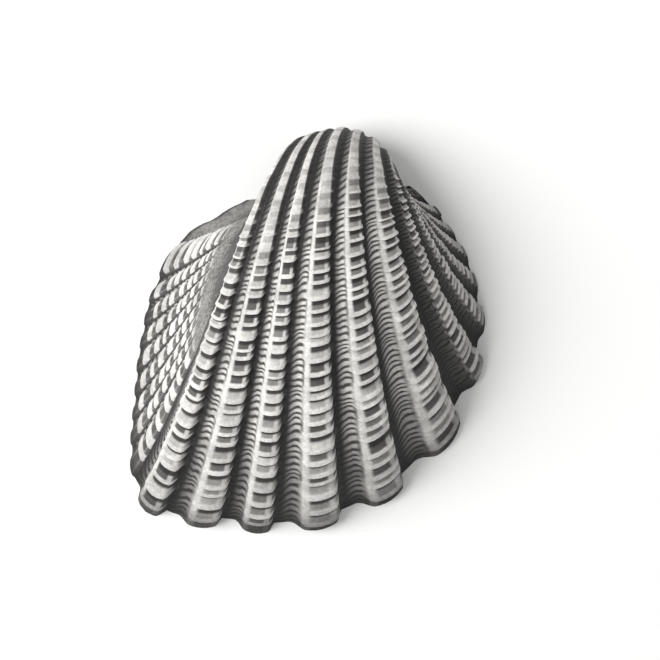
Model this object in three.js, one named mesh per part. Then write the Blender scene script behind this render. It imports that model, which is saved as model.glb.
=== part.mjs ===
// One valve of a ribbed cockle, lying on its rim with its hollow side down. Millimetres, +Z up.
// +Y points to the beak and +X to the front end of the shell. The origin is on the table, under the
// middle of the outline.
//
// A cockle grows by adding to its margin. Each older margin is a smaller copy of the last one, turned
// about the hinge axis, so the outside is the margin curve swept along a shrinking turn, and every rib
// is one place on that curve followed back to the beak.
import * as THREE from 'three';

// ---- Driving dimensions ------------------------------------------------------------------------

const BEAK_X = 7.45; // where the sweep ends, on the hinge axis
const BEAK_Y = 15.62;
const HINGE_SLOPE = 0.0861; // turn of the hinge axis from +X towards +Y, radians

// Where the grooves between the ribs reach the margin, from the hinge's hinder end, round by the
// lower edge, to its front end. The first and last points are the ends of the hinge line.
const GROOVE_ENDS = [
  [-6.6, 14.41], [-10.9, 11.8], [-15.0, 8.8], [-16.5, 5.3], [-17.6, 2.6], [-18.1, 0.0],
  [-18.6, -2.6], [-18.9, -5.3], [-19.1, -8.0], [-19.4, -10.7], [-19.5, -13.5], [-19.1, -17.1],
  [-15.4, -20.7], [-9.1, -21.5], [-3.2, -22.0], [4.4, -20.4], [11.2, -16.2], [16.9, -8.7],
  [19.3, -2.6], [19.5, 2.6], [18.7, 6.3], [17.4, 9.3], [15.8, 11.6], [14.2, 13.7], [11.8, 16.0],
];

// The same places on the inner wall, at the height where it starts. There is more room between the two
// curves at the hinder end, where the shell is low.
const INNER_ENDS = [
  [-5.0, 11.3], [-8.0, 9.4], [-10.8, 6.9], [-12.6, 4.1], [-13.5, 1.6], [-14.2, -0.8],
  [-15.0, -3.2], [-15.6, -5.7], [-16.1, -8.2], [-16.5, -10.6], [-16.7, -13.2], [-16.2, -15.9],
  [-13.3, -18.1], [-8.6, -18.8], [-2.9, -19.1], [3.3, -17.7], [9.5, -14.0], [14.5, -7.1],
  [16.6, -1.9], [16.8, 2.4], [16.3, 5.3], [15.2, 7.7], [13.9, 9.7], [12.7, 11.3], [11.3, 12.7],
];

const FIRST_SHRINK = 0.66; // how fast older margins get smaller, per radian of turn
const SHRINK_CHANGE = -0.036; // and how that rate changes, per radian squared
const FULL_TURN = THREE.MathUtils.degToRad(170); // turn at which the sweep closes on the beak
const CLOSE_POWER = 20; // how suddenly the beak closes
const CLOSE_ROOT = 0.4; // how rounded its edge is
const LEAN = 0.123; // the dome leans back by this much of its height

// Rib height over rib pitch, and how many ribs in a row have it, from the hinder end to the front.
const RELIEFS = [
  { relief: 0.03, ribs: 2 }, // smooth strips by the hinge
  { relief: 0.08, ribs: 9 }, // hinder ribs
  { relief: 0.32, ribs: 1 }, // the rib on the corner
  { relief: 0.2, ribs: 6 }, // main ribs
  { relief: 0.14, ribs: 1 },
  { relief: 0.07, ribs: 4 }, // front ribs
  { relief: 0.03, ribs: 1 },
];
// Each rib leans to the front: its hinder wall is gentle and its front wall steep. These are where
// the walls start and end, as parts of the pitch.
const HINDER_FOOT = 0.17;
const HINDER_TOP = 0.4;
const FRONT_TOP = 0.84;
const FRONT_FOOT = 0.97;
const CROWN = 0.2; // how much the top is rounded, as a part of the rib height

const RIM_FLAT = 0.62; // part of the way from the outer edge to the inner wall that is flat
const INNER_RIM_HEIGHT = 1.6; // where the inner wall starts above the table
const INNER_FLUTE = 0.75; // how much of each rib shows as a flute inside the margin
const FLUTE_FADE = 0.35; // turn over which the flutes fade, radians
const INNER_TURN = THREE.MathUtils.degToRad(150); // turn at which the hollow closes under the beak
const INNER_CLOSE_POWER = 9;
const INNER_SHRINK = 0.05; // the hollow's extra shrinking, which thickens the wall near the beak

const HINGE_PLATE = 3.3; // width of the shelf under the beak that carries the teeth
const PLATE_RECESS = 0.8; // how far the shelf stands back from the table
const PLATE_FLAT = 0.3; // part of the shelf's width that is still rim
const PLATE_STEP = 0.12; // part of its width over which it steps back
const LIP_START = 0.88; // part of its width where it turns up into the hollow
const HINDER_FADE = 5; // length over which the shelf runs out at the low hinder end
const FRONT_FADE = 2.5; // and at the front end
// Teeth on the shelf: middle along the hinge from the beak, half length, place across the shelf
// from 0 at the outer edge to 1 at the inner one, and half width, also as a part of the shelf.
const TEETH = [
  { along: -9.6, reach: 2.0, across: 0.62, spread: 0.17 },
  { along: -2.6, reach: 0.75, across: 0.55, spread: 0.2 },
  { along: -0.7, reach: 0.6, across: 0.68, spread: 0.2 },
  { along: 2.1, reach: 0.9, across: 0.62, spread: 0.17 },
];
const TOOTH_HEIGHT = 0.7;
const CORNER_BLEND = 1.5; // ribs over which the rim turns into the hinge plate at each end

const SHELL_COLOUR = '#dedad2';
const RIB_MIDDLE = (HINDER_TOP + FRONT_TOP) / 2;
const OUTER_STEPS = [0, HINDER_FOOT, HINDER_TOP, RIB_MIDDLE, FRONT_TOP, FRONT_FOOT]; // columns of each rib
const RIM_STEPS = [0, HINDER_TOP, FRONT_TOP];
const INNER_STEPS = [0, RIB_MIDDLE];
const OUTER_ROWS = 21;
const INNER_ROWS = 13;
const HINGE_STEPS = 30;
const RIM_PARTS = [0.3, 0.42, RIM_FLAT, 0.78, 0.9]; // rings of the underside, from outer edge to wall
const FINE_ROWS = 1200; // samples used to space the rows evenly

// ---- The margin curve --------------------------------------------------------------------------

const RIB_COUNT = GROOVE_ENDS.length - 1;
const ribReliefs = RELIEFS.flatMap(({ relief, ribs }) => Array(ribs).fill(relief));
const clamp01 = (value) => Math.min(1, Math.max(0, value));
const smooth = (from, to, value) => {
  const part = clamp01((value - from) / (to - from));
  return part * part * (3 - 2 * part);
};

// A point on the hinge's own axes: distance along the hinge from the beak, and depth below it.
function onHingeAxes([x, y], axisDepth) {
  const dx = x - BEAK_X;
  const dy = y - BEAK_Y;
  const along = dx * Math.cos(HINGE_SLOPE) + dy * Math.sin(HINGE_SLOPE);
  const depth = dx * Math.sin(HINGE_SLOPE) - dy * Math.cos(HINGE_SLOPE);
  return new THREE.Vector3(along, depth - axisDepth, 0);
}

// The smooth curve through the groove ends, with its first and last points on the hinge axis.
// A place on it is 0 at the first one and RIB_COUNT at the last.
function marginCurve(ends, axisDepth) {
  const points = ends.map((end) => onHingeAxes(end, axisDepth));
  points[0].y = 0;
  points[RIB_COUNT].y = 0;
  return new THREE.CatmullRomCurve3(points, false, 'centripetal');
}
const outerCurve = marginCurve(GROOVE_ENDS, 0);
const innerCurve = marginCurve(INNER_ENDS, HINGE_PLATE);

function curveAt(curve, place) {
  const point = curve.getPoint(place / RIB_COUNT);
  const tangent = curve.getTangent(place / RIB_COUNT);
  return { along: point.x, depth: point.y, outAlong: -tangent.y, outDepth: tangent.x };
}

// Height of the ribs at a place on the margin: a rise with a rounded top in each pitch.
function ribHeight(place) {
  const rib = Math.min(Math.floor(place), RIB_COUNT - 1);
  const across = place - rib;
  const pitch = outerCurve.points[rib].distanceTo(outerCurve.points[rib + 1]);
  const walls = smooth(HINDER_FOOT, HINDER_TOP, across) * (1 - smooth(FRONT_TOP, FRONT_FOOT, across));
  const crown = 1 - CROWN * (2 * (across - RIB_MIDDLE) / (FRONT_TOP - HINDER_TOP)) ** 2;
  return pitch * ribReliefs[rib] * walls * crown;
}

// ---- The growth sweep --------------------------------------------------------------------------

// Size of the margin at a turn, against the last margin.
function growth(turn, fullTurn, closePower, extraShrink) {
  const spiral = Math.exp(-(FIRST_SHRINK + extraShrink + SHRINK_CHANGE * turn) * turn);
  return spiral * (1 - Math.min(1, turn / fullTurn) ** closePower) ** CLOSE_ROOT;
}
const outerGrowth = (turn) => growth(turn, FULL_TURN, CLOSE_POWER, 0);
const innerGrowth = (turn) => growth(turn, INNER_TURN, INNER_CLOSE_POWER, INNER_SHRINK);

// A margin point shrunk by size and turned about the hinge axis, then put in the shell's frame.
function swept(along, depth, size, turn, axisDepth, axisHeight) {
  const height = size * depth * Math.sin(turn);
  const across = -axisDepth - size * depth * Math.cos(turn);
  const side = size * along - LEAN * height;
  return new THREE.Vector3(
    BEAK_X + side * Math.cos(HINGE_SLOPE) - across * Math.sin(HINGE_SLOPE),
    BEAK_Y + side * Math.sin(HINGE_SLOPE) + across * Math.cos(HINGE_SLOPE),
    axisHeight + height);
}

// Turns that space count rows evenly along the middle rib, from the margin to the beak.
function evenTurns(count, fullTurn, sizeAt) {
  const length = [0];
  for (let i = 1; i <= FINE_ROWS; i += 1) {
    const before = fullTurn * (i - 1) / FINE_ROWS;
    const turn = fullTurn * i / FINE_ROWS;
    const mean = (sizeAt(before) + sizeAt(turn)) / 2;
    length.push(length[i - 1] + Math.hypot(sizeAt(turn) - sizeAt(before), mean * (turn - before)));
  }
  const turns = [];
  let i = 0;
  for (let row = 0; row < count; row += 1) {
    const wanted = length[FINE_ROWS] * row / count;
    while (length[i + 1] < wanted) i += 1;
    const part = (wanted - length[i]) / (length[i + 1] - length[i]);
    turns.push(fullTurn * (i + part) / FINE_ROWS);
  }
  return turns;
}

function outerPoint(place, turn) {
  const edge = curveAt(outerCurve, place);
  const rise = ribHeight(place);
  const along = edge.along + edge.outAlong * rise;
  const depth = Math.max(0, edge.depth + edge.outDepth * rise);
  return swept(along, depth, outerGrowth(turn), turn, 0, 0);
}

function innerPoint(place, turn) {
  const edge = curveAt(innerCurve, place);
  const flute = INNER_FLUTE * ribHeight(place) * (1 - smooth(0, FLUTE_FADE, turn));
  const along = edge.along + edge.outAlong * flute;
  const depth = Math.max(0, edge.depth + edge.outDepth * flute);
  return swept(along, depth, innerGrowth(turn), turn, HINGE_PLATE, INNER_RIM_HEIGHT);
}

// ---- The rim and the hinge plate -----------------------------------------------------------------

// Height of the underside between the outer edge (part 0) and the inner wall (part 1).
function rimHeight(part) {
  return INNER_RIM_HEIGHT * clamp01((part - RIM_FLAT) / (1 - RIM_FLAT));
}

function plateHeight(part, along) {
  const fromEnds = smooth(0, HINDER_FADE, along - outerCurve.points[0].x)
    * smooth(0, FRONT_FADE, outerCurve.points[RIB_COUNT].x - along);
  const recess = PLATE_RECESS * fromEnds * smooth(PLATE_FLAT, PLATE_FLAT + PLATE_STEP, part);
  const lip = (INNER_RIM_HEIGHT - PLATE_RECESS * fromEnds) * smooth(LIP_START, 1, part);
  const tooth = TEETH.map(({ along: middle, reach, across, spread }) => {
    const far = ((along - middle) / reach) ** 2 + ((part - across) / spread) ** 2;
    return TOOTH_HEIGHT * Math.sqrt(Math.max(0, 1 - far));
  });
  return recess + lip - Math.max(...tooth);
}

// ---- Building the one closed body ------------------------------------------------------------------

const vertices = [];
const triangles = [];

function addPoint(point) {
  vertices.push(point.x, point.y, point.z);
  return vertices.length / 3 - 1;
}

function columnPlaces(steps) {
  const places = [];
  for (let rib = 0; rib < RIB_COUNT; rib += 1) {
    for (const step of steps) places.push(rib + step);
  }
  places.push(RIB_COUNT);
  return places;
}

// One skin of the shell: columns along the ribs, rows along the margins, closed at the beak.
// Its edge comes back as a loop of vertices, each with where it is on the loop: 0 to 1 along the
// margin, then 1 to 2 along the hinge line from its front end to its hinder end.
function addSkin({ places, turns, pointAt, sizeAt, hingeEnds, tipPoint, facesOut }) {
  const rows = turns.map((turn) => places.map((place) => addPoint(pointAt(place, turn))));
  const tip = addPoint(tipPoint);
  const last = places.length - 1;
  rows.forEach((row, index) => {
    const above = rows[index + 1];
    for (let column = 0; column < last; column += 1) {
      const corners = above
        ? [row[column], row[column + 1], above[column + 1], above[column]]
        : [row[column], row[column + 1], tip];
      if (!facesOut) corners.reverse();
      triangles.push(corners[0], corners[1], corners[2]);
      if (above) triangles.push(corners[0], corners[2], corners[3]);
    }
  });
  const [hinder, front] = hingeEnds;
  const hingePart = (along) => 1 + (front - along) / (front - hinder);
  const margin = rows[0].map((vertex, column) => ({ vertex, at: places[column] / RIB_COUNT }));
  const frontEdge = turns.slice(1).map((turn, index) => (
    { vertex: rows[index + 1][last], at: hingePart(front * sizeAt(turn)) }));
  const hinderEdge = turns.slice(1).map((turn, index) => (
    { vertex: rows[index + 1][0], at: hingePart(hinder * sizeAt(turn)) }));
  return [...margin, ...frontEdge, { vertex: tip, at: hingePart(0) }, ...hinderEdge.reverse()];
}

// Triangles between an outer loop and one inside it, stepping along whichever is behind.
function addBand(outerLoop, innerLoop) {
  const outer = [...outerLoop, { vertex: outerLoop[0].vertex, at: 2 }];
  const inner = [...innerLoop, { vertex: innerLoop[0].vertex, at: 2 }];
  let i = 0;
  let j = 0;
  while (i + 1 < outer.length || j + 1 < inner.length) {
    const stepOuter = j + 1 === inner.length
      || (i + 1 < outer.length && outer[i + 1].at <= inner[j + 1].at);
    if (stepOuter) {
      triangles.push(outer[i].vertex, inner[j].vertex, outer[i + 1].vertex);
      i += 1;
    } else {
      triangles.push(outer[i].vertex, inner[j].vertex, inner[j + 1].vertex);
      j += 1;
    }
  }
}

// One ring of the underside, part of the way from the outer edge to the inner wall.
function addRimRing(part, outerEnds, innerEnds) {
  const loop = [];
  for (const place of columnPlaces(RIM_STEPS)) {
    const point = outerPoint(place, 0).lerp(innerPoint(place, 0), part);
    const fromHinge = Math.min(place, RIB_COUNT - place);
    const hingeShare = 1 - smooth(0, CORNER_BLEND, fromHinge);
    const along = place < RIB_COUNT / 2 ? outerEnds[0] : outerEnds[1];
    point.z = rimHeight(part) * (1 - hingeShare) + plateHeight(part, along) * hingeShare;
    loop.push({ vertex: addPoint(point), at: place / RIB_COUNT });
  }
  for (let step = 1; step < HINGE_STEPS; step += 1) {
    const way = step / HINGE_STEPS;
    const along = THREE.MathUtils.lerp(
      THREE.MathUtils.lerp(outerEnds[1], outerEnds[0], way),
      THREE.MathUtils.lerp(innerEnds[1], innerEnds[0], way), part);
    const point = swept(along, 0, 1, 0, HINGE_PLATE * part, plateHeight(part, along));
    loop.push({ vertex: addPoint(point), at: 1 + way });
  }
  return loop;
}

function buildValve() {
  const outerEnds = [outerCurve.points[0].x, outerCurve.points[RIB_COUNT].x];
  const innerEnds = [innerCurve.points[0].x, innerCurve.points[RIB_COUNT].x];
  const outerLoop = addSkin({
    places: columnPlaces(OUTER_STEPS),
    turns: evenTurns(OUTER_ROWS, FULL_TURN, outerGrowth),
    pointAt: outerPoint,
    sizeAt: outerGrowth,
    hingeEnds: outerEnds,
    tipPoint: swept(0, 0, 0, 0, 0, 0),
    facesOut: true,
  });
  const innerLoop = addSkin({
    places: columnPlaces(INNER_STEPS),
    turns: evenTurns(INNER_ROWS, INNER_TURN, innerGrowth),
    pointAt: innerPoint,
    sizeAt: innerGrowth,
    hingeEnds: innerEnds,
    tipPoint: swept(0, 0, 0, 0, HINGE_PLATE, INNER_RIM_HEIGHT),
    facesOut: false,
  });
  let loop = outerLoop;
  for (const part of RIM_PARTS) {
    const ring = addRimRing(part, outerEnds, innerEnds);
    addBand(loop, ring);
    loop = ring;
  }
  addBand(loop, innerLoop);

  const geometry = new THREE.BufferGeometry();
  geometry.setAttribute('position', new THREE.Float32BufferAttribute(vertices, 3));
  geometry.setIndex(triangles);
  geometry.computeBoundingBox();
  const middle = geometry.boundingBox.getCenter(new THREE.Vector3());
  geometry.translate(-middle.x, -middle.y, -geometry.boundingBox.min.z);
  geometry.computeVertexNormals();
  return geometry;
}

const material = new THREE.MeshStandardMaterial({ color: SHELL_COLOUR, roughness: 0.6, metalness: 0 });
const valve = new THREE.Mesh(buildValve(), material);
valve.name = 'valve';

const shell = new THREE.Group();
shell.add(valve);
export default shell;
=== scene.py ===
"""Adds one valve of a ribbed cockle and a plain studio stage.

The valve is two sweeps of a margin curve, an outer and an inner one, joined by a flat rim and a hinge
plate. A cockle grows at its margin, so every older margin is a smaller copy of the last one, turned
about the hinge axis, and every rib is one place on the margin followed back to the beak.
"""

import math

import bpy
import numpy as np
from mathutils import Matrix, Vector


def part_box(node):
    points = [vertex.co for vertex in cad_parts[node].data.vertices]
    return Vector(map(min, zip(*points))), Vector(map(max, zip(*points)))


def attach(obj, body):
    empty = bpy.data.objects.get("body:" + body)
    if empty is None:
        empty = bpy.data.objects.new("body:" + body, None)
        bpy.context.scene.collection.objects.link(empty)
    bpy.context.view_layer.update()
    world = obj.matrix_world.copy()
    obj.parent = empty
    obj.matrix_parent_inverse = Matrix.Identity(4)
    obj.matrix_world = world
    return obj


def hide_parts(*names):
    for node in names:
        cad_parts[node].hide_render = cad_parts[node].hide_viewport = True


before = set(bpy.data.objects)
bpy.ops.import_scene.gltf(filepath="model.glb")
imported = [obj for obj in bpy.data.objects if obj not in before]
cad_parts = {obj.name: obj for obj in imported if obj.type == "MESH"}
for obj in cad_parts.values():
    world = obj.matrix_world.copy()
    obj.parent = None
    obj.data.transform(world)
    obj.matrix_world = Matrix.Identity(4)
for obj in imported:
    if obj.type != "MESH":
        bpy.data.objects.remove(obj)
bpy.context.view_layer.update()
VALVE_LOW, VALVE_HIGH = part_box("valve")

bl_info = {
    "name": "Cockle Valve",
    "version": (1, 0, 0),
    "blender": (4, 5, 0),
    "location": "3D View > Sidebar > Shell",
    "description": "Builds one ribbed cockle valve and a studio stage for it",
    "category": "Add Mesh",
}

MM = 0.001

# ---- The shell's shape, in millimetres and radians ------------------------------------------------

BEAK = (7.45, 15.62)
HINGE_SLOPE = 0.0861
# Where the grooves between the ribs reach the margin, from the hinge's hinder end, round by the lower
# edge, to its front end, and the same places where the inner wall starts.
GROOVE_ENDS = (
    (-6.6, 14.41), (-9.9, 12.5), (-13.7, 10.05), (-16.5, 5.3), (-17.6, 2.6), (-18.1, 0.0),
    (-18.6, -2.6), (-18.9, -5.3), (-19.1, -8.0), (-19.4, -10.7), (-19.5, -13.5), (-19.1, -17.1),
    (-15.4, -20.7), (-9.1, -21.5), (-3.2, -22.0), (4.4, -20.4), (11.2, -16.2), (16.9, -8.7),
    (19.3, -2.6), (19.5, 2.6), (18.7, 6.3), (17.4, 9.3), (15.8, 11.6), (14.2, 13.7), (11.8, 16.0),
)
INNER_ENDS = (
    (-5.0, 11.3), (-8.0, 9.4), (-10.8, 6.9), (-12.6, 4.1), (-13.5, 1.6), (-14.2, -0.8),
    (-15.0, -3.2), (-15.6, -5.7), (-16.1, -8.2), (-16.5, -10.6), (-16.7, -13.2), (-16.2, -15.9),
    (-13.3, -18.1), (-8.6, -18.8), (-2.9, -19.1), (3.3, -17.7), (9.5, -14.0), (14.5, -7.1),
    (16.6, -1.9), (16.8, 2.4), (16.3, 5.3), (15.2, 7.7), (13.9, 9.7), (12.7, 11.3), (11.3, 12.7),
)
RIB_COUNT = len(GROOVE_ENDS) - 1

FIRST_SHRINK = 0.66
SHRINK_CHANGE = -0.036
LEAN = 0.123
OUTER_CLOSE = {"turn": math.radians(170), "power": 20, "extra": 0.0}
INNER_CLOSE = {"turn": math.radians(150), "power": 9, "extra": 0.05}
CLOSE_ROOT = 0.4

# Rib height as a part of the pitch, for each rib: two weak strips, nine hinder ribs, the corner rib,
# seven main ribs, four front ribs and a weak strip.
RIB_RELIEFS = (0.03,) * 2 + (0.08,) * 9 + (0.32,) + (0.2,) * 6 + (0.14,) + (0.07,) * 4 + (0.03,)
# Where each rib's hinder wall starts and ends, and its steeper front wall, as parts of the pitch.
HINDER_FOOT = 0.17
HINDER_TOP = 0.4
FRONT_TOP = 0.84
FRONT_FOOT = 0.97
CROWN = 0.2

HINGE_PLATE = 3.3
INNER_RIM_HEIGHT = 1.6
INNER_FLUTE = 0.75
FLUTE_FADE = 0.35
RIM_FLAT = 0.62
PLATE_RECESS = 0.8
PLATE_FLAT = 0.3
PLATE_STEP = 0.12
LIP_START = 0.88
HINDER_FADE = 5.0
FRONT_FADE = 2.5
CORNER_BLEND = 1.5
TOOTH_HEIGHT = 0.7
# Middle along the hinge from the beak, half length, place across the plate, half width.
TEETH = (
    (-9.6, 2.0, 0.62, 0.17),
    (-2.6, 0.75, 0.55, 0.2),
    (-0.7, 0.6, 0.68, 0.2),
    (2.1, 0.9, 0.62, 0.17),
)

# ---- Scales, grooves and wear ----------------------------------------------------------------------

# A scale's rise, flat top and fall, as parts of the spacing, which runs from the margin to the beak.
SCALE_RISE = 0.09
SCALE_TOP = 0.2
SCALE_FALL = 0.36
OVERHANG = 0.07
# Where the lowest scales begin and are whole, counted in scales from the margin.
FIRST_SCALE = (0.8, 0.9)
# Two waves that make the spacing uneven: how far each moves a scale, its turn for each scale, and its
# turn for each rib.
UNEVEN_SPACING = (0.16, 0.1)
UNEVEN_BEATS = (1.1, 2.7)
UNEVEN_RIBS = (2.3, 5.0)
# Scales of the hinder ribs are fewer and longer.
HINDER_PACE = 0.66
HINDER_SCALE_TOP = 0.42
HINDER_SCALE_FALL = 0.56
# Where a scale rises across its rib and where it falls again, as parts of the pitch.
WIDE_SIDES = ((0.26, 0.4), (0.87, 0.955))
HINDER_SIDES = ((0.12, 0.24), (0.9, 0.97))
# A scale's height as a part of the setting: its base, what each millimetre of pitch adds, and how much
# it differs from scale to scale. It grows again as the shell gets smaller, down to the smallest size.
SCALE_BASE = 0.3
SCALE_PER_PITCH = 0.1
SCALE_SPREAD = 0.5
SMALLEST_SIZE = 0.05
# Waves along each rib that make its height uneven: part of the height, turn a scale, turn a rib.
RIB_WAVES = ((0.08, 1.7, 2.1), (0.05, 4.3, 1.0))
# How far each rib's scales are moved along it, as a part of the spacing: at least, and at most beyond
# that. The ribs come into step over these scales at the margin, and above the last scales.
FIRST_OFFSET = 0.1
OFFSET_SPREAD = 0.5
MARGIN_STEP = 1.5
UPPER_STEP = (5.0, 1.0)
# Turns over which the scales are worn away on the main ribs, how much that differs from rib to rib, how
# much later it is on the front ones and where those start, and the turns over which the hinder ribs run
# out, with how much of their height goes.
WORN = np.radians((52, 98))
WORN_SPREAD = np.radians(16)
FRONT_WORN = np.radians(20)
FRONT_START = (14.0, 16.5)
HINDER_END = np.radians((28, 44))
HINDER_SINK = 0.8
HINDER_RIBS = (2, 10)

# What each point of the mesh carries for its finish: its place on the margin, the number of scales from
# the margin, its turn, how high it is on its rib and on a scale, and how worn and how bare it is.
POINT_VALUES = ("place", "growth", "turn", "rib", "scale", "worn", "bare")

# ---- How finely the surface is drawn ---------------------------------------------------------------

# Reliefs below which a strip is weak and above which a rib is a main one, the columns of a weak strip,
# a narrow rib and a main rib, as parts of the pitch, and the rows of a scale.
WEAK_RELIEF = 0.05
MAIN_RELIEF = 0.1
WEAK_STEPS = (0.0, 0.2, 0.4, 0.6, 0.8)
NARROW_STEPS = (0.0, 0.1, 0.17, 0.25, 0.32, 0.4, 0.52, 0.66, 0.78, 0.85, 0.91, 0.96)
MAIN_STEPS = (0.0, 0.09, 0.17, 0.22, 0.27, 0.32, 0.36, 0.4, 0.46, 0.54, 0.63, 0.72, 0.79, 0.84, 0.88,
              0.92, 0.95, 0.975)
SCALE_ROWS = (0.0, 0.045, 0.09, 0.2, 0.28, 0.36, 0.7)
# The turn up to which rows follow the scales, and how many turns are looked at up to there and up to the
# beak. Then the rows of the whole sweep, of which those past the scales and a small gap are kept, and
# the part of a scale that each counts as.
SCALED_TURN = np.radians(112)
SCALED_SAMPLES = 4001
TURN_SAMPLES = 6001
BEAK_ROWS = 150
BEAK_GAP = 0.01
BEAK_ROW_PHASE = 0.2
# The inside, the points along the hinge, the rings of the underside from the outer edge to the inner
# one, and the angle from which an edge is sharp.
INNER_COLUMNS = 6
INNER_ROWS = 64
HINGE_STEPS = 110
RIM_PARTS = (0.04, 0.3, 0.33, 0.36, 0.39, 0.42, 0.47, 0.52, 0.57, 0.62, 0.68, 0.74, 0.8, 0.88, 0.94)
SHARP_ANGLE = math.radians(55)

# The flat map: its side edge, and the heights of its outer, inner and rim parts.
MAP_EDGE = 0.01
MAP_OUTER = (0.34, 0.99)
MAP_INNER = (0.01, 0.24)
MAP_RIM = (0.32, 0.26)

# ---- Stage, in metres, watts and millimetres of sensor ----------------------------------------------

FLOOR_HALF = 1.5
FLOOR_HEIGHT = -0.02 * MM
WORLD_STRENGTH = 0.5
KEY_SIZE = 0.42
KEY_POWER = 3.1
KEY_PLACE = (-0.38, 0.07, 0.38)
SENSOR_WIDTH = 36.0
CAMERA_DISTANCE = 2.0
CAMERA_SHIFT = (2.54 * MM, 0.06 * MM)
VIEW_WIDTH = 74.45 * MM


# ---- Properties ------------------------------------------------------------------------------------


def srgb(code):
    """Linear colour of an sRGB hex code: each part over 255, through the sRGB curve."""
    parts = np.array([int(code[i:i + 2], 16) / 255 for i in (1, 3, 5)])
    linear = np.where(parts <= 0.04045, parts / 12.92, ((parts + 0.055) / 1.055) ** 2.4)
    return tuple(float(part) for part in linear)


COLOUR_NAMES = ("crest_colour", "recess_light", "recess_dark", "groove_light", "groove_dark",
                "painted_shade_colour", "patch_light", "patch_dark", "inner_light", "inner_dark",
                "floor_colour")
COLOUR = {"subtype": "COLOR", "size": 3, "min": 0.0, "max": 1.0}


class ValveSettings(bpy.types.PropertyGroup):
    """Sizes and colours of the valve and its floor."""

    scale_count: bpy.props.FloatProperty(
        name="Scales", description="Scales on a middle rib, from the margin to above the hinge",
        default=27.0, min=8.0, max=28.0)
    scale_height: bpy.props.FloatProperty(
        name="Scale height", description="Height of a scale on a wide rib, at the margin",
        default=0.42 * MM, min=0.0, unit="LENGTH", subtype="DISTANCE")
    crest_colour: bpy.props.FloatVectorProperty(
        name="Crest", description="Chalky edges of the ribs and scales", default=srgb("#E0DEDA"),
        **COLOUR)
    # The two recess colours are painted shade between the scales; each recess takes a random depth
    # between them.
    recess_light: bpy.props.FloatVectorProperty(
        name="Light recess", description="Palest surface between two scales",
        default=srgb("#D0CEC9"), **COLOUR)
    recess_dark: bpy.props.FloatVectorProperty(
        name="Dark recess", description="Darkest surface between two scales",
        default=srgb("#5A5855"), **COLOUR)
    groove_light: bpy.props.FloatVectorProperty(
        name="Growth line", description="Raised growth lines in the grooves",
        default=srgb("#DAD8D3"), **COLOUR)
    # The groove colour is painted shade on the floor of the grooves.
    groove_dark: bpy.props.FloatVectorProperty(
        name="Groove", description="Floor of the grooves between the lines",
        default=srgb("#484644"), **COLOUR)
    # Painted shade: the painted shadows beside the ribs and under the scales, darker grooves near the
    # margin, on the front ribs and where worn, a band along the margin, and the darkening of the strip
    # by the hinge.
    painted_shade_colour: bpy.props.FloatVectorProperty(
        name="Painted shade", description="Silt beside the ribs and under the scales",
        default=srgb("#242322"), **COLOUR)
    patch_light: bpy.props.FloatVectorProperty(
        name="Light patch", description="Smooth patch beside the hinder ribs, at its lower end",
        default=srgb("#B9B7B2"), **COLOUR)
    patch_dark: bpy.props.FloatVectorProperty(
        name="Dark patch", description="Smooth patch beside the hinder ribs, near the beak",
        default=srgb("#4A4846"), **COLOUR)
    inner_light: bpy.props.FloatVectorProperty(
        name="Light inside", description="Palest part of the smooth inside",
        default=srgb("#EFEBE2"), **COLOUR)
    inner_dark: bpy.props.FloatVectorProperty(
        name="Dark inside", description="Darkest part of the smooth inside",
        default=srgb("#CFC9BD"), **COLOUR)
    floor_colour: bpy.props.FloatVectorProperty(
        name="Floor", description="Pale paper under the valve", default=srgb("#FAFAF9"), **COLOUR)


# ---- The margin curve ------------------------------------------------------------------------------


def smooth(low, high, value):
    """0 below low, 1 above high, and 3p^2 - 2p^3 between, where p is the part of the way."""
    part = np.clip((value - low) / (high - low), 0, 1)
    return part * part * (3 - 2 * part)


def margin_curve(ends, axis_depth):
    """A centripetal Catmull-Rom curve through the ends, as cubic coefficients for each rib.

    The ends are first turned onto the hinge's axes: distance along the hinge from the beak, and
    depth below it. Each stretch is a cubic that meets its neighbours with the same slope.
    """
    offset = np.array(ends) - BEAK
    cos, sin = math.cos(HINGE_SLOPE), math.sin(HINGE_SLOPE)
    along = offset @ (cos, sin)
    depth = offset @ (sin, -cos) - axis_depth
    depth[[0, -1]] = 0
    points = np.stack([along, depth], 1)
    longer = np.vstack([2 * points[0] - points[1], points, 2 * points[-1] - points[-2]])
    gap = np.sqrt(np.linalg.norm(np.diff(longer, axis=0), axis=1))[:, None]
    before, start, end, after = longer[:-3], longer[1:-2], longer[2:-1], longer[3:]
    gap0, gap1, gap2 = gap[:-2], gap[1:-1], gap[2:]
    leave = ((start - before) / gap0 - (end - before) / (gap0 + gap1)) * gap1 + end - start
    arrive = end - start - ((after - start) / (gap1 + gap2) - (after - end) / gap2) * gap1
    return np.stack([start, leave, 3 * (end - start) - 2 * leave - arrive,
                     2 * (start - end) + leave + arrive], 1)


def curve_at(curve, place):
    """Point on the curve at each place, and the unit vector that points out of the shell there."""
    rib = np.minimum(place.astype(int), RIB_COUNT - 1)
    part = (place - rib)[:, None]
    c0, c1, c2, c3 = np.moveaxis(curve[rib], 1, 0)
    point = c0 + part * (c1 + part * (c2 + part * c3))
    slope = c1 + part * (2 * c2 + 3 * part * c3)
    slope /= np.linalg.norm(slope, axis=1, keepdims=True)
    return point, np.stack([-slope[:, 1], slope[:, 0]], 1)


def rib_profile(place):
    """Rib height at each place: pitch times relief times a flat-topped rise across the pitch."""
    rib = np.minimum(place.astype(int), RIB_COUNT - 1)
    across = place - rib
    pitch = np.linalg.norm(np.diff(OUTER_CURVE_ENDS, axis=0), axis=1)[rib]
    wall = smooth(HINDER_FOOT, HINDER_TOP, across) * (1 - smooth(FRONT_TOP, FRONT_FOOT, across))
    crown = 1 - CROWN * ((2 * across - HINDER_TOP - FRONT_TOP) / (FRONT_TOP - HINDER_TOP)) ** 2
    return pitch * np.array(RIB_RELIEFS)[rib] * wall * crown, wall, pitch


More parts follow.
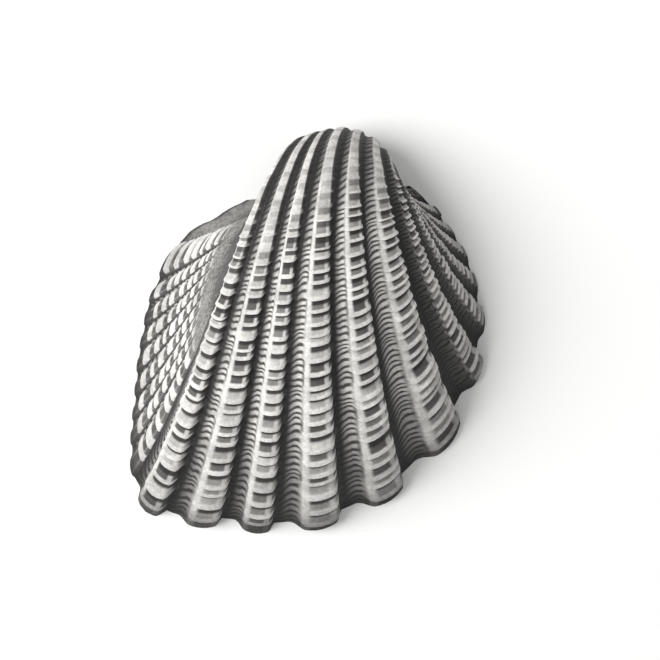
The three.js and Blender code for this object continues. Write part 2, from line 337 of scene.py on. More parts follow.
OUTER_CURVE = margin_curve(GROOVE_ENDS, 0.0)
INNER_CURVE = margin_curve(INNER_ENDS, HINGE_PLATE)
OUTER_CURVE_ENDS = np.vstack([OUTER_CURVE[:, 0], OUTER_CURVE[-1].sum(0)])
INNER_CURVE_ENDS = np.vstack([INNER_CURVE[:, 0], INNER_CURVE[-1].sum(0)])


# ---- The growth sweep ------------------------------------------------------------------------------


def growth(turn, close):
    """Size of the margin at a turn: a falling exponential, times a factor that closes the beak."""
    spiral = np.exp(-(FIRST_SHRINK + close["extra"] + SHRINK_CHANGE * turn) * turn)
    return spiral * (1 - np.minimum(1, turn / close["turn"]) ** close["power"]) ** CLOSE_ROOT


def swept(along, depth, size, turn, axis_depth, axis_height):
    """Margin points shrunk by size and turned about the hinge axis, in the shell's own frame."""
    height = size * depth * np.sin(turn)
    across = -axis_depth - size * depth * np.cos(turn)
    side = size * along - LEAN * height
    cos, sin = math.cos(HINGE_SLOPE), math.sin(HINGE_SLOPE)
    return np.stack([BEAK[0] + side * cos - across * sin, BEAK[1] + side * sin + across * cos,
                     axis_height + height], -1)


def even_turns(close, count):
    """Turns spaced evenly along a middle rib, from the margin to the beak. Each step's length is the
    root of its change of size squared plus its mean size times its turn squared."""
    fine = np.linspace(0, close["turn"], TURN_SAMPLES)
    size = growth(fine, close)
    length = np.hypot(np.diff(size), (size[1:] + size[:-1]) / 2 * np.diff(fine))
    run = np.concatenate([[0], np.cumsum(length)])
    return np.interp(run[-1] * np.arange(count) / count, run, fine)


# ---- The underside ---------------------------------------------------------------------------------


def plate_height(part, along):
    """Hinge plate: a step back from the rim that fades at both ends, a lip up into the hollow, and
    teeth, each half an ellipsoid standing down from it."""
    ends = OUTER_CURVE_ENDS[[0, -1], 0]
    fade = smooth(0, HINDER_FADE, along - ends[0]) * smooth(0, FRONT_FADE, ends[1] - along)
    recess = PLATE_RECESS * fade * smooth(PLATE_FLAT, PLATE_FLAT + PLATE_STEP, part)
    lip = (INNER_RIM_HEIGHT - PLATE_RECESS * fade) * smooth(LIP_START, 1, part)
    teeth = [TOOTH_HEIGHT * np.sqrt(np.maximum(
        0, 1 - ((along - middle) / reach) ** 2 - ((part - across) / spread) ** 2))
        for middle, reach, across, spread in TEETH]
    return recess + lip - np.max(teeth, axis=0)


# ---- Mesh assembly ---------------------------------------------------------------------------------


class Body:
    """Points, point values, faces and face-corner map places, gathered until the mesh is made."""

    def __init__(self):
        """An empty body."""
        self.points = []
        self.values = []
        self.faces = []
        self.places = []
        self.inside = []
        self.count = 0

    def add_points(self, points, **values):
        """Adds points, with values that are one for all or one for each, and returns their indices."""
        points = points.reshape(-1, 3)
        self.points.append(points)
        self.values.append({k: np.broadcast_to(v, points.shape[:1]) if np.ndim(v) < 1
                            else np.asarray(v).reshape(-1) for k, v in values.items()})
        first = self.count
        self.count += len(points)
        return np.arange(first, self.count)

    def add_faces(self, faces, places, inside):
        """Adds faces, the map places of their corners, and whether they are inside."""
        self.faces.append(faces)
        self.places.append(places)
        self.inside.append(inside)


def add_skin(body, grid, values, tip, ends, places, sizes, map_rows, inside):
    """A grid of quads with rows along the margins and columns along the ribs, closed by a fan at the
    beak. Returns its edge as a loop: vertices, and 0 to 1 along the margin then 1 to 2 along the
    hinge line, from its front end to its hinder end."""
    rows, columns = grid.shape[:2]
    ids = body.add_points(grid, **values).reshape(rows, columns)
    tip_id = body.add_points(tip, **{k: np.asarray(v).reshape(rows, columns)[-1].mean()
                                     for k, v in values.items()})
    across = MAP_EDGE + (1 - 2 * MAP_EDGE) * places / RIB_COUNT
    up = map_rows[0] + (map_rows[1] - map_rows[0]) * np.arange(rows + 1) / rows
    corner = np.stack(np.broadcast_arrays(across[None, :], up[:-1, None]), -1)
    a, b, c, d = ids[:-1, :-1], ids[:-1, 1:], ids[1:, 1:], ids[1:, :-1]
    ua, ub, uc, ud = corner[:-1, :-1], corner[:-1, 1:], corner[1:, 1:], corner[1:, :-1]
    quads = np.stack([a, b, c, d], -1).reshape(-1, 4)
    quad_places = np.stack([ua, ub, uc, ud], -2).reshape(-1, 4, 2)
    fan = np.stack([ids[-1, :-1], ids[-1, 1:], np.full(columns - 1, tip_id[0])], -1)
    middle = (across[:-1] + across[1:]) / 2
    fan_places = np.stack([
        corner[-1, :-1], corner[-1, 1:],
        np.stack([middle, np.full(columns - 1, up[-1])], -1)], -2)
    if inside:
        quads, quad_places = quads[:, ::-1], quad_places[:, ::-1]
        fan, fan_places = fan[:, ::-1], fan_places[:, ::-1]
    body.add_faces(quads, quad_places, inside)
    body.add_faces(fan, fan_places, inside)
    hinder, front = ends
    loop = np.concatenate([ids[0], ids[1:, -1], tip_id, ids[:0:-1, 0]])
    at = np.concatenate([
        places / RIB_COUNT, 1 + front * (1 - sizes[1:, -1]) / (front - hinder),
        [1 + front / (front - hinder)], 1 + (front - hinder * sizes[:0:-1, 0]) / (front - hinder)])
    return loop, at


def add_band(body, outer, inner, rows):
    """Triangles between two loops. All steps of both are sorted by where they end, and each step
    makes one triangle with the vertex reached so far on the other loop."""
    outer_ids, outer_at = np.append(outer[0], outer[0][0]), np.append(outer[1], 2.0)
    inner_ids, inner_at = np.append(inner[0], inner[0][0]), np.append(inner[1], 2.0)
    ends = np.concatenate([outer_at[1:], inner_at[1:]])
    from_outer = np.arange(len(ends)) < len(outer_at) - 1
    order = np.lexsort((~from_outer, ends))
    steps_outer = from_outer[order]
    i = np.cumsum(steps_outer) - steps_outer
    j = np.cumsum(~steps_outer) - ~steps_outer
    i_next = np.minimum(i + 1, len(outer_ids) - 1)
    j_next = np.minimum(j + 1, len(inner_ids) - 1)
    third = np.where(steps_outer, outer_ids[i_next], inner_ids[j_next])
    faces = np.stack([outer_ids[i], inner_ids[j], third], 1)
    third_at = np.where(steps_outer, outer_at[i_next], inner_at[j_next])
    third_row = np.where(steps_outer, rows[0], rows[1])
    at = np.stack([outer_at[i], inner_at[j], third_at], 1)
    row = np.stack([np.full(len(i), rows[0]), np.full(len(i), rows[1]), third_row], 1)
    body.add_faces(faces, np.stack([MAP_EDGE + (0.5 - MAP_EDGE) * at, row], -1), True)


def column_places():
    """Places of the outer columns: each rib's steps after its number, and the hinge's front end."""
    ribs = []
    for rib, relief in enumerate(RIB_RELIEFS):
        narrow = WEAK_STEPS if relief < WEAK_RELIEF else NARROW_STEPS
        ribs.append(rib + np.array(MAIN_STEPS if relief > MAIN_RELIEF else narrow))
    return np.append(np.concatenate(ribs), float(RIB_COUNT))


def scale_turns(count):
    """Turn at each phase, where phase = count (1 - size cos turn): scales evenly spaced from above."""
    turn = np.linspace(0, SCALED_TURN, SCALED_SAMPLES)
    return count * (1 - growth(turn, OUTER_CLOSE) * np.cos(turn)), turn


def scatter(first, second):
    """A number from 0 to 1 for each pair of whole numbers: the fraction of a large sine."""
    return np.modf(np.abs(np.sin(first * 12.9898 + second * 78.233) * 4375.85))[0]


def pace_at(place):
    """Scales of each place against those of a main rib: fewer on the hinder ribs, and changing in the
    grooves beside them."""
    first, last = HINDER_RIBS
    edges = (first - 1 + FRONT_FOOT, first + HINDER_FOOT, last + FRONT_FOOT, last + 1 + HINDER_FOOT)
    return np.interp(place, edges, (1.0, HINDER_PACE, HINDER_PACE, 1.0))


def rise_and_fall(sides, value):
    """0, then 1 past the first pair of values, then 0 again past the second pair."""
    return smooth(*sides[0], value) * (1 - smooth(*sides[1], value))


def rib_and_scale(place, phase, turn, settings):
    """How far the surface stands out from the margin curve, and the values its finish follows.

    Each rib is its profile, and on it each scale is a rise, a flat top and a fall along the rib, times
    a rise and a fall across it. Its height is a little different each time."""
    rise, wall, pitch = rib_profile(place)
    rib = np.minimum(place.astype(int), RIB_COUNT - 1)
    across = place - rib
    hinder = (rib >= HINDER_RIBS[0]) & (rib <= HINDER_RIBS[1])
    number = np.floor(phase)
    within = phase - number
    along = smooth(0, SCALE_RISE, within) * (1 - np.where(
        hinder, smooth(HINDER_SCALE_TOP, HINDER_SCALE_FALL, within),
        smooth(SCALE_TOP, SCALE_FALL, within)))
    along *= smooth(*FIRST_SCALE, phase / pace_at(place))
    cross = np.where(hinder, rise_and_fall(HINDER_SIDES, across), rise_and_fall(WIDE_SIDES, across))
    later = smooth(*FRONT_START, place) * FRONT_WORN + (scatter(rib, 5) - 0.5) * WORN_SPREAD
    worn = smooth(WORN[0] + later, WORN[1] + later, turn)
    bare = hinder * smooth(HINDER_END[0], HINDER_END[1], turn)
    scaled = np.array(RIB_RELIEFS)[rib] > WEAK_RELIEF
    scale = along * cross * (1 - worn) * (1 - bare) * scaled
    height = settings.scale_height / MM * (SCALE_BASE + SCALE_PER_PITCH * pitch)
    height *= 1 + SCALE_SPREAD * (scatter(rib, number) - 0.5)
    uneven = 1 + sum(part * np.sin(phase * by_scale + rib * by_rib)
                     for part, by_scale, by_rib in RIB_WAVES)
    size = np.maximum(growth(turn, OUTER_CLOSE), SMALLEST_SIZE)
    lift = rise * (1 - HINDER_SINK * bare) * uneven + height * scale / np.sqrt(size)
    return lift, {"rib": wall * (1 - bare), "scale": scale, "worn": worn, "bare": bare}


def outer_skin(body, settings):
    """The outside. Rows follow the scales up each rib, which are out of step from rib to rib, and
    then run evenly to the beak. A scale's top leans over its lower side."""
    places = column_places()
    point, out = curve_at(OUTER_CURVE, places)
    phases, phase_turns = scale_turns(settings.scale_count)
    last = phases[-1]
    rows = (np.arange(int(last))[:, None] + SCALE_ROWS).ravel()
    start = scatter(np.arange(RIB_COUNT), 3) * OFFSET_SPREAD + FIRST_OFFSET
    start[[0, 1, -1]] = 0
    knots = (np.arange(RIB_COUNT)[:, None] + (HINDER_FOOT, FRONT_FOOT)).ravel()
    share = np.stack([np.interp(places, knots, np.repeat(one, 2)) for one in np.eye(RIB_COUNT)])
    beat = np.outer(rows, UNEVEN_BEATS)[:, :, None] + np.outer(UNEVEN_RIBS, np.arange(RIB_COUNT))
    uneven = (np.array(UNEVEN_SPACING)[:, None] * np.sin(beat)).sum(1)
    early = (start + uneven * (start > 0)) @ share
    phase = rows[:, None] + np.zeros(len(places))
    upper = smooth(last - UPPER_STEP[0], last - UPPER_STEP[1], phase)
    near = smooth(0, MARGIN_STEP, phase) * (1 - upper)
    turn = np.interp(phase - early * near, phases, phase_turns)
    grid_place = np.broadcast_to(places, phase.shape)
    pace = pace_at(places)
    lean = rib_and_scale(grid_place, phase * pace, turn, settings)[1]["scale"]
    turn = np.interp(phase - early * near - OVERHANG * lean, phases, phase_turns)

    tail = even_turns(OUTER_CLOSE, BEAK_ROWS)
    tail = tail[tail > turn[-1].max() + BEAK_GAP]
    turn = np.vstack([turn, np.broadcast_to(tail[:, None], (len(tail), len(places)))])
    tail_phase = last + BEAK_ROW_PHASE * np.arange(len(tail))[:, None]
    phase = np.vstack([phase, np.broadcast_to(tail_phase, (len(tail), len(places)))])
    phase = phase * pace
    grid_place = np.broadcast_to(places, phase.shape)
    lift, values = rib_and_scale(grid_place, phase, turn, settings)
    size = growth(turn, OUTER_CLOSE)
    grid = swept(point[:, 0] + out[:, 0] * lift, np.maximum(0, point[:, 1] + out[:, 1] * lift),
                 size, turn, 0.0, 0.0)
    values |= {"place": grid_place, "growth": phase, "turn": turn}
    return add_skin(body, grid, values, swept(0.0, 0.0, 0.0, 0.0, 0.0, 0.0),
                    OUTER_CURVE_ENDS[[0, -1], 0], places, size, MAP_OUTER, False)


def valve_body(settings):
    """The whole valve: outer skin with ribs and scales, inner skin, rim and hinge plate."""
    body = Body()
    loop = outer_skin(body, settings)
    plain = dict.fromkeys(POINT_VALUES, 0.0)
    places = np.append((np.arange(RIB_COUNT)[:, None]
                        + np.arange(INNER_COLUMNS) / INNER_COLUMNS).ravel(), float(RIB_COUNT))
    turns = even_turns(INNER_CLOSE, INNER_ROWS)
    sizes = growth(turns, INNER_CLOSE)
    grid = inner_points(places, turns, sizes)
    inner = add_skin(body, grid, {key: np.zeros(grid.shape[:2]) for key in plain},
                     swept(0.0, 0.0, 0.0, 0.0, HINGE_PLATE, INNER_RIM_HEIGHT),
                     INNER_CURVE_ENDS[[0, -1], 0], places,
                     np.broadcast_to(sizes[:, None], grid.shape[:2]), MAP_INNER, True)
    rim_columns = column_places()[::2]
    rim_columns[-1] = RIB_COUNT
    rows = np.linspace(*MAP_RIM, len(RIM_PARTS) + 2)
    for index, part in enumerate(RIM_PARTS):
        ring = add_rim_ring(body, part, rim_columns, plain)
        add_band(body, loop, ring, rows[index:index + 2])
        loop = ring
    add_band(body, loop, inner, rows[-2:])
    return body


def inner_points(places, turns, sizes):
    """Points of the inner skin: the inner curve with flutes that fade with the turn, swept."""
    point, out = curve_at(INNER_CURVE, places)
    flute = INNER_FLUTE * rib_profile(places)[0] * (1 - smooth(0, FLUTE_FADE, turns))[:, None]
    along = point[:, 0] + out[:, 0] * flute
    depth = np.maximum(0, point[:, 1] + out[:, 1] * flute)
    return swept(along, depth, sizes[:, None], turns[:, None], HINGE_PLATE, INNER_RIM_HEIGHT)


def add_rim_ring(body, part, places, plain):
    """One ring of the underside: points part of the way from the outer edge to the inner one."""
    point, out = curve_at(OUTER_CURVE, places)
    lifted = point + out * rib_profile(places)[0][:, None]
    outer = swept(lifted[:, 0], np.maximum(0, lifted[:, 1]), 1.0, 0.0, 0.0, 0.0)
    inner = inner_points(places, np.zeros(1), np.ones(1))[0]
    margin = outer + (inner - outer) * part
    share = 1 - smooth(0, CORNER_BLEND, np.minimum(places, RIB_COUNT - places))
    ends = OUTER_CURVE_ENDS[[0, -1], 0]
    corner_along = np.where(places < RIB_COUNT / 2, ends[0], ends[1])
    plain_rim = INNER_RIM_HEIGHT * np.clip((part - RIM_FLAT) / (1 - RIM_FLAT), 0, 1)
    margin[:, 2] = plain_rim * (1 - share) + plate_height(part, corner_along) * share
    way = np.arange(1, HINGE_STEPS) / HINGE_STEPS
    edges = [e[-1, 0] + (e[0, 0] - e[-1, 0]) * way for e in (OUTER_CURVE_ENDS, INNER_CURVE_ENDS)]
    along = edges[0] + (edges[1] - edges[0]) * part
    hinge = swept(along, 0.0, 1.0, 0.0, HINGE_PLATE * part, plate_height(part, along))
    ids = body.add_points(np.concatenate([margin, hinge]), **plain)
    return ids, np.concatenate([places / RIB_COUNT, 1 + way])


def mesh_object(name, body, materials):
    """A mesh of the body's points and faces, moved so that its middle and foot are the frame's."""
    points = np.concatenate(body.points)
    low, high = points.min(0), points.max(0)
    middle = np.array([(a + b) / 2 for a, b in zip(VALVE_LOW, VALVE_HIGH)]) / MM
    shift = np.array([middle[0] - (low[0] + high[0]) / 2, middle[1] - (low[1] + high[1]) / 2,
                      VALVE_LOW[2] / MM - low[2]])
    mesh = bpy.data.meshes.new(name)
    faces = [face for block in body.faces for face in block.tolist()]
    mesh.from_pydata(((points + shift) * MM).tolist(), [], faces)
    for key in body.values[0]:
        attribute = mesh.attributes.new(key, "FLOAT", "POINT")
        attribute.data.foreach_set(
            "value", np.concatenate([v[key] for v in body.values]).astype(np.float32))
    for material in materials:
        mesh.materials.append(material)
    inside = np.concatenate([np.full(len(f), i) for f, i in zip(body.faces, body.inside)])
    mesh.polygons.foreach_set("material_index", inside.astype(np.int32))
    mesh.polygons.foreach_set("use_smooth", np.ones(len(faces), bool))
    layer = mesh.uv_layers.new(name="OFBake")
    places = np.concatenate([p.reshape(-1, 2) for p in body.places])
    layer.uv.foreach_set("vector", places.astype(np.float32).ravel())
    mesh.set_sharp_from_angle(angle=SHARP_ANGLE)
    mesh.validate()
    piece = bpy.data.objects.new(name, mesh)
    bpy.context.scene.collection.objects.link(piece)
    return piece


# ---- Materials -------------------------------------------------------------------------------------


MATHS = "ShaderNodeMath"
RAMP = "ShaderNodeMapRange"
MIX = "ShaderNodeMix"
NOISE = "ShaderNodeTexNoise"
SOFT = {"interpolation_type": "SMOOTHSTEP"}
BLEND = {"data_type": "RGBA"}
TIMES = {"operation": "MULTIPLY"}
TIMES_PLUS = {"operation": "MULTIPLY_ADD"}
LARGER = {"operation": "MAXIMUM"}
# Output of a mix node that carries its colour.
MIXED_COLOUR = 2
# Growth lines to a scale, and how many lines they slant by across a rib.
LINES_A_SCALE = 2
LINE_SLANT = -2.2
LINE_MOTTLE = 6.0
# Ramps from the hinder ribs to the main ones, and from the main ones to the front ones.
TO_MAIN = SOFT | {1: 10.9, 2: 11.1}
TO_FRONT = SOFT | {1: 16.1, 2: 17.2}
MOTTLE_SIZE = 2.5 * MM
GRAIN_SIZE = 0.35 * MM
CLOUD_SIZE = 6.0 * MM


def add_node(tree, kind, settings=None, links=None, output=0):
    """Adds a node with its settings and links, and returns one of its outputs."""
    node = tree.nodes.new(kind)
    for key, value in (settings or {}).items():
        if isinstance(key, str) and hasattr(node, key):
            setattr(node, key, value)
        else:
            node.inputs[key].default_value = value
    for key, source in (links or {}).items():
        tree.links.new(source, node.inputs[key])
    return node.outputs[output] if len(node.outputs) else None


def finish_material(name, steps, sources, shader):
    """A material whose nodes are the sources, then the steps in turn. Each step is its name, kind,
    settings and the names of the steps its sockets read; the shader, given the same way, reads them
    too."""
    material = bpy.data.materials.new(name)
    material.use_nodes = True
    tree = material.node_tree
    tree.nodes.clear()
    made = {key: add_node(tree, *source) for key, source in sources.items()}
    for step, kind, settings, links in steps:
        read = {key: made[source] for key, source in links.items()}
        made[step] = add_node(tree, kind, settings, read, MIXED_COLOUR if kind == MIX else 0)
    read = {key: made[source] for key, source in shader[1].items()}
    surface = add_node(tree, "ShaderNodeBsdfPrincipled", shader[0], read)
    add_node(tree, "ShaderNodeOutputMaterial", None, {"Surface": surface})
    return material


def ribbed_finish(settings):
    """Weathered calcite laid down in growth layers: matte and chalky on the ribs and scales, with
    painted shade between the scales, a painted shadow beside each rib and under each scale, and fine
    growth lines on a floor of painted shade in the grooves."""
    paint = {name: tuple(getattr(settings, name)) + (1.0,) for name in COLOUR_NAMES}
    sources = {name: ("ShaderNodeAttribute", {"attribute_name": name}, None, "Fac")
               for name in POINT_VALUES}
    sources["where"] = ("ShaderNodeTexCoord", None, None, "Object")
    steps = (
        ("across", MATHS, {"operation": "FRACT"}, {0: "place"}),
        ("within", MATHS, {"operation": "FRACT"}, {0: "growth"}),
        ("rib number", MATHS, {"operation": "FLOOR"}, {0: "place"}),
        ("scale number", MATHS, {"operation": "FLOOR"}, {0: "growth"}),
        ("which scale", "ShaderNodeCombineXYZ", {}, {0: "rib number", 1: "scale number"}),
        ("chance", "ShaderNodeTexWhiteNoise", {}, {"Vector": "which scale"}),
        ("mottle", NOISE, {"Scale": 1 / MOTTLE_SIZE, "Detail": 4.0}, {"Vector": "where"}),
        ("grain", NOISE, {"Scale": 1 / GRAIN_SIZE, "Detail": 3.0}, {"Vector": "where"}),

        # Growth lines: slanted a little across the groove and a little uneven.
        ("slant", MATHS, TIMES | {1: LINE_SLANT * math.tau}, {0: "across"}),
        ("even lines", MATHS, TIMES_PLUS | {1: LINES_A_SCALE * math.tau}, {0: "growth", 2: "slant"}),
        ("lines", MATHS, TIMES_PLUS | {1: LINE_MOTTLE}, {0: "mottle", 2: "even lines"}),
        ("wave", MATHS, {"operation": "SINE"}, {0: "lines"}),
        ("line", RAMP, SOFT | {1: -0.8, 2: 0.4}, {0: "wave"}),

        # The painted shadow beside each rib lies wider in the grooves of the front ribs and where the
        # ribs are worn, and narrower between the hinder ribs.
        ("front", RAMP, TO_FRONT, {0: "place"}),
        ("front groove", MATHS, TIMES_PLUS | {1: -0.14}, {0: "front", 2: "across"}),
        ("hinder ribs", RAMP, TO_MAIN | {3: 1.0, 4: 0.0}, {0: "place"}),
        ("narrow groove", MATHS, TIMES_PLUS | {1: 0.15}, {0: "hinder ribs", 2: "front groove"}),
        ("hinder side", MATHS, TIMES_PLUS | {1: -0.09}, {0: "worn", 2: "narrow groove"}),
        ("wide rib", MATHS, TIMES_PLUS | {1: -0.06}, {0: "hinder ribs", 2: "across"}),
        ("front side", MATHS, TIMES_PLUS | {1: 0.1}, {0: "worn", 2: "wide rib"}),

        # Chalk on the scales and along both edges of each rib, fainter on the hinder ribs.
        ("on scale", RAMP, SOFT | {1: 0.3, 2: 0.65}, {0: "scale"}),
        ("hinder rise", RAMP, SOFT | {1: 0.32, 2: 0.37}, {0: "across"}),
        ("hinder fall", RAMP, SOFT | {1: 0.42, 2: 0.49, 3: 1.0, 4: 0.0}, {0: "across"}),
        ("hinder edge", MATHS, TIMES, {0: "hinder rise", 1: "hinder fall"}),
        ("front rise", RAMP, SOFT | {1: 0.72, 2: 0.77, 4: 0.8}, {0: "across"}),
        ("front fall", RAMP, SOFT | {1: 0.82, 2: 0.86, 3: 1.0, 4: 0.0}, {0: "across"}),
        ("front edge", MATHS, TIMES, {0: "front rise", 1: "front fall"}),
        ("main", RAMP, TO_MAIN | {3: 0.3, 4: 1.0}, {0: "place"}),
        ("both edges", MATHS, LARGER, {0: "hinder edge", 1: "front edge"}),
        ("edges", MATHS, TIMES, {0: "both edges", 1: "main"}),
        ("raised", MATHS, LARGER, {0: "edges", 1: "on scale"}),
        ("worn top", RAMP, SOFT | {1: 0.0, 2: 0.8, 4: 0.85}, {0: "worn"}),
        ("chalk", MATHS, LARGER, {0: "raised", 1: "worn top"}),

        # Painted shade in each recess between two scales: a random depth for each recess, deeper on the
        # hinder and front ribs, and a painted shadow under the upper scale.
        ("any shade", RAMP, SOFT | {1: 0.1, 2: 0.85}, {0: "chance"}),
        ("front shade", RAMP, SOFT | {1: 14.8, 2: 16.2, 3: 1.0, 4: 0.5}, {0: "place"}),
        ("hinder shade", RAMP, TO_MAIN | {3: 0.1, 4: 1.0}, {0: "place"}),
        ("side shade", MATHS, TIMES, {0: "hinder shade", 1: "front shade"}),
        ("shade", MATHS, TIMES, {0: "any shade", 1: "side shade"}),
        ("recess", MIX, BLEND | {6: paint["recess_dark"], 7: paint["recess_light"]}, {0: "shade"}),
        ("rib top", MIX, BLEND | {7: paint["crest_colour"]}, {0: "chalk", 6: "recess"}),
        # Painted shadow just below the next scale up, on the part of the rib's top away from its hinder
        # edge.
        ("under", RAMP, SOFT | {1: 0.48, 2: 0.68}, {0: "within"}),
        ("beside edge", RAMP, SOFT | {1: 0.42, 2: 0.5}, {0: "across"}),
        ("off scale", RAMP, SOFT | {1: 0.0, 2: 0.5, 3: 1.0, 4: 0.0}, {0: "on scale"}),
        ("not worn", RAMP, SOFT | {1: 0.0, 2: 0.9, 3: 0.95, 4: 0.25}, {0: "worn"}),
        ("under scale", MATHS, TIMES, {0: "under", 1: "beside edge"}),
        ("bare under", MATHS, TIMES, {0: "under scale", 1: "off scale"}),
        ("any shadow", MATHS, TIMES, {0: "bare under", 1: "not worn"}),
        ("shadow", MATHS, TIMES, {0: "any shadow", 1: "main"}),
        ("shaded top", MIX, BLEND | {7: paint["painted_shade_colour"]}, {0: "shadow", 6: "rib top"}),

        # Grooves: pale growth lines on painted shade, paler up the rib's hinder side as painted light,
        # and more painted shade near the margin, on the front ribs and where the shell is worn.
        ("hinder wall light", RAMP, SOFT | {1: 0.06, 2: 0.28, 3: 0.3, 4: 1.0}, {0: "hinder side"}),
        ("pale line", MATHS, TIMES, {0: "line", 1: "hinder wall light"}),
        ("groove", MIX, BLEND | {6: paint["groove_dark"], 7: paint["groove_light"]},
         {0: "pale line"}),
        # Painted shade that darkens the grooves near the margin, on the front ribs and where the ribs
        # are worn.
        ("shade near margin", RAMP, SOFT | {1: 0.05, 2: 0.5, 3: 0.6, 4: 0.0}, {0: "turn"}),
        ("shade on front grooves", RAMP, SOFT | {1: 16.9, 2: 17.3, 4: 0.85}, {0: "place"}),
        ("low or front", MATHS, LARGER, {0: "shade near margin", 1: "shade on front grooves"}),
        ("shade where worn", MATHS, TIMES | {1: 0.75}, {0: "worn"}),
        ("groove shade", MATHS, LARGER, {0: "shade where worn", 1: "low or front"}),
        ("shaded groove", MIX, BLEND | {7: paint["painted_shade_colour"]}, {0: "groove shade", 6: "groove"}),
        ("rib edge", RAMP, SOFT | {1: 0.27, 2: 0.35}, {0: "hinder side"}),
        ("ribs", MIX, BLEND, {0: "rib edge", 6: "shaded groove", 7: "shaded top"}),
        # Painted shadow at the foot of each rib's steep front wall and across the start of the next
        # groove, kept off the scales and the patch.
        ("front painted shadow", RAMP, SOFT | {1: 0.85, 2: 0.92}, {0: "front side"}),
        ("hinder painted shadow", RAMP, SOFT | {1: 0.03, 2: 0.14, 3: 1.0, 4: 0.0}, {0: "hinder side"}),
        ("painted rib shadows", MATHS, LARGER, {0: "front painted shadow", 1: "hinder painted shadow"}),
        ("clear of scales", RAMP, SOFT | {1: 0.0, 2: 0.5, 3: 0.95, 4: 0.3}, {0: "scale"}),
        ("clear of patch", RAMP, SOFT | {1: 0.0, 2: 0.5, 3: 1.0, 4: 0.0}, {0: "bare"}),
        ("clear", MATHS, TIMES, {0: "clear of scales", 1: "clear of patch"}),
        ("painted_shadow", MATHS, TIMES, {0: "painted rib shadows", 1: "clear"}),
        ("with painted shade", MIX, BLEND | {7: paint["painted_shade_colour"]}, {0: "painted_shadow", 6: "ribs"}),

        # The smooth patch where the hinder ribs run out, stippled, and the strip by the hinge.
        ("up the patch", RAMP, SOFT | {1: 0.5, 2: 1.1}, {0: "turn"}),
        ("stipple", RAMP, SOFT | {1: 0.36, 2: 0.66, 4: 0.55}, {0: "grain"}),
        ("patch shade", MATHS, {"operation": "ADD", "use_clamp": True},
         {0: "up the patch", 1: "stipple"}),
        ("patch", MIX, BLEND | {6: paint["patch_light"], 7: paint["patch_dark"]},
         {0: "patch shade"}),
        ("with patch", MIX, BLEND, {0: "bare", 6: "with painted shade", 7: "patch"}),
        ("up the strip", RAMP, SOFT | {1: 0.02, 2: 0.8, 3: 0.15, 4: 0.7}, {0: "turn"}),
        ("strip", MIX, BLEND | {7: paint["painted_shade_colour"]}, {0: "up the strip", 6: "patch"}),
        ("in strip", RAMP, SOFT | {1: 1.95, 2: 2.2, 3: 1.0, 4: 0.0}, {0: "place"}),
        ("with strip", MIX, BLEND, {0: "in strip", 6: "with patch", 7: "strip"}),
        # A band of painted shade along the margin.
        ("margin shade", RAMP, SOFT | {1: 0.012, 2: 0.075, 3: 0.85, 4: 0.0}, {0: "turn"}),
        ("with margin shade", MIX, BLEND | {7: paint["painted_shade_colour"]}, {0: "margin shade", 6: "with strip"}),

        # Broad and fine unevenness of the whole coat, and painted shade on the front ribs and towards
        # the margin.
        ("painted front shade", RAMP, SOFT | {1: 16.2, 2: 18.5, 3: 1.0, 4: 0.9}, {0: "place"}),
        ("tone", RAMP, SOFT | {1: 0.3, 2: 0.7, 3: 0.78, 4: 1.08}, {0: "mottle"}),
        ("speck", RAMP, SOFT | {1: 0.3, 2: 0.7, 3: 0.85, 4: 1.1}, {0: "grain"}),
        ("unevenness", MATHS, TIMES, {0: "tone", 1: "speck"}),
        ("painted lower shade", RAMP, SOFT | {1: 0.0, 2: 0.4, 3: 0.76, 4: 1.0}, {0: "turn"}),
        ("painted slope shade", MATHS, TIMES, {0: "painted front shade", 1: "painted lower shade"}),
        ("tint", MATHS, TIMES, {0: "unevenness", 1: "painted slope shade"}),
        ("colour", MIX, BLEND | {"blend_type": "MULTIPLY", 0: 1.0}, {6: "with margin shade", 7: "tint"}),

        ("in groove", RAMP, SOFT | {1: 0.3, 2: 0.8, 3: 1.0, 4: 0.2}, {0: "rib"}),
        ("relief", MATHS, TIMES_PLUS, {0: "line", 1: "in groove", 2: "grain"}),
        ("bump", "ShaderNodeBump", {"Strength": 0.6, "Distance": 0.09 * MM}, {"Height": "relief"}),
    )
    return finish_material("Weathered ribbed calcite", steps, sources,
                           ({"Roughness": 0.7, "IOR": 1.5}, {"Base Color": "colour", "Normal": "bump"}))


def inner_finish(settings):
    """Dense inner calcite, laid down smooth: pale, faintly glossy, with a warm cast."""
    steps = (
        ("cloud", NOISE, {"Scale": 1 / CLOUD_SIZE, "Detail": 4.0}, {"Vector": "where"}),
        ("colour", MIX, BLEND | {6: tuple(settings.inner_dark) + (1.0,),
                                 7: tuple(settings.inner_light) + (1.0,)}, {0: "cloud"}),
    )
    sources = {"where": ("ShaderNodeTexCoord", None, None, "Object")}
    return finish_material("Smooth inner calcite", steps, sources,
                           ({"Roughness": 0.34, "IOR": 1.6}, {"Base Color": "colour"}))


def floor_finish(settings):
    """Plain matte paper: gives a pale, even ground."""
    return finish_material("Pale paper sweep", (), {}, (
        {"Base Color": tuple(settings.floor_colour) + (1.0,), "Roughness": 0.9}, {}))


# ---- Operators -------------------------------------------------------------------------------------


class SHELL_OT_valve(bpy.types.Operator):
    """Add the cockle valve"""

    bl_idname = "shell.add_valve"
    bl_label = "Add Cockle Valve"
    bl_options = {"REGISTER", "UNDO"}

    def execute(self, context):
        """Makes the valve in place of the plain solid."""
        settings = context.scene.valve_settings
        body = valve_body(settings)
        piece = mesh_object("cockle_valve", body, [ribbed_finish(settings), inner_finish(settings)])
        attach(piece, "root")
        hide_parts("valve")
        return {"FINISHED"}


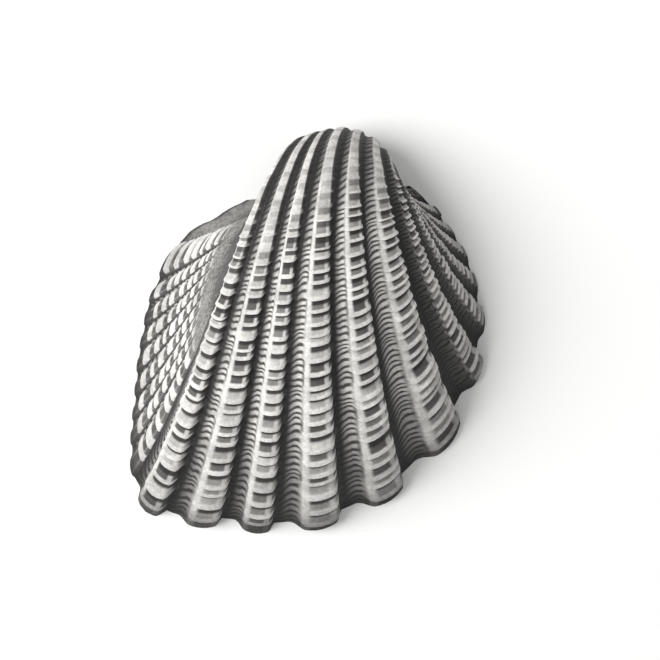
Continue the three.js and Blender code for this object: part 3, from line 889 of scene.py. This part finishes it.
class SHELL_OT_stage(bpy.types.Operator):
    """Add the floor, lights and camera"""

    bl_idname = "shell.add_stage"
    bl_label = "Add Stage"
    bl_options = {"REGISTER", "UNDO"}

    def execute(self, context):
        """Makes the floor, the even sky, the key light and the camera that looks straight down."""
        scene = context.scene
        scene.view_settings.view_transform = "Standard"
        mesh = bpy.data.meshes.new("floor")
        mesh.from_pydata([(x * FLOOR_HALF, y * FLOOR_HALF, FLOOR_HEIGHT)
                          for x, y in ((-1, -1), (1, -1), (1, 1), (-1, 1))], [], [(0, 1, 2, 3)])
        mesh.materials.append(floor_finish(scene.valve_settings))
        floor = bpy.data.objects.new("floor", mesh)
        scene.collection.objects.link(floor)

        world = bpy.data.worlds.new("studio")
        world.use_nodes = True
        world.node_tree.nodes["Background"].inputs["Color"].default_value = (1, 1, 1, 1)
        world.node_tree.nodes["Background"].inputs["Strength"].default_value = WORLD_STRENGTH
        scene.world = world

        lamp = bpy.data.lights.new("key", "AREA")
        lamp.shape = "DISK"
        lamp.size = KEY_SIZE
        lamp.energy = KEY_POWER
        key = bpy.data.objects.new("key", lamp)
        scene.collection.objects.link(key)
        key.location = KEY_PLACE
        key.rotation_euler = (-key.location).to_track_quat("-Z", "Y").to_euler()

        lens = bpy.data.cameras.new("camera")
        lens.sensor_width = SENSOR_WIDTH
        lens.lens = SENSOR_WIDTH * CAMERA_DISTANCE / VIEW_WIDTH
        lens.clip_start = 0.1
        lens.clip_end = 10.0
        camera = bpy.data.objects.new("camera", lens)
        scene.collection.objects.link(camera)
        middle = [(low + high) / 2 for low, high in zip(VALVE_LOW, VALVE_HIGH)]
        camera.location = (middle[0] + CAMERA_SHIFT[0], middle[1] + CAMERA_SHIFT[1],
                           CAMERA_DISTANCE)
        scene.camera = camera
        return {"FINISHED"}


class SHELL_PT_panel(bpy.types.Panel):
    """Sidebar panel with the valve's settings and buttons"""

    bl_idname = "SHELL_PT_panel"
    bl_label = "Cockle Valve"
    bl_space_type = "VIEW_3D"
    bl_region_type = "UI"
    bl_category = "Shell"

    def draw(self, context):
        """Lists the settings, then one button for the valve and one for the stage."""
        settings = context.scene.valve_settings
        for name in ("scale_count", "scale_height") + COLOUR_NAMES:
            self.layout.prop(settings, name)
        self.layout.operator(SHELL_OT_valve.bl_idname)
        self.layout.operator(SHELL_OT_stage.bl_idname)


CLASSES = (ValveSettings, SHELL_OT_valve, SHELL_OT_stage, SHELL_PT_panel)


def register():
    """Registers the classes and hangs the settings on the scene."""
    for cls in CLASSES:
        bpy.utils.register_class(cls)
    bpy.types.Scene.valve_settings = bpy.props.PointerProperty(type=ValveSettings)


def unregister():
    """Takes the settings and the classes away again."""
    del bpy.types.Scene.valve_settings
    for cls in reversed(CLASSES):
        bpy.utils.unregister_class(cls)


def main():
    """Adds the valve and the stage."""
    register()
    bpy.ops.shell.add_valve()
    bpy.ops.shell.add_stage()


if __name__ == "__main__":
    main()
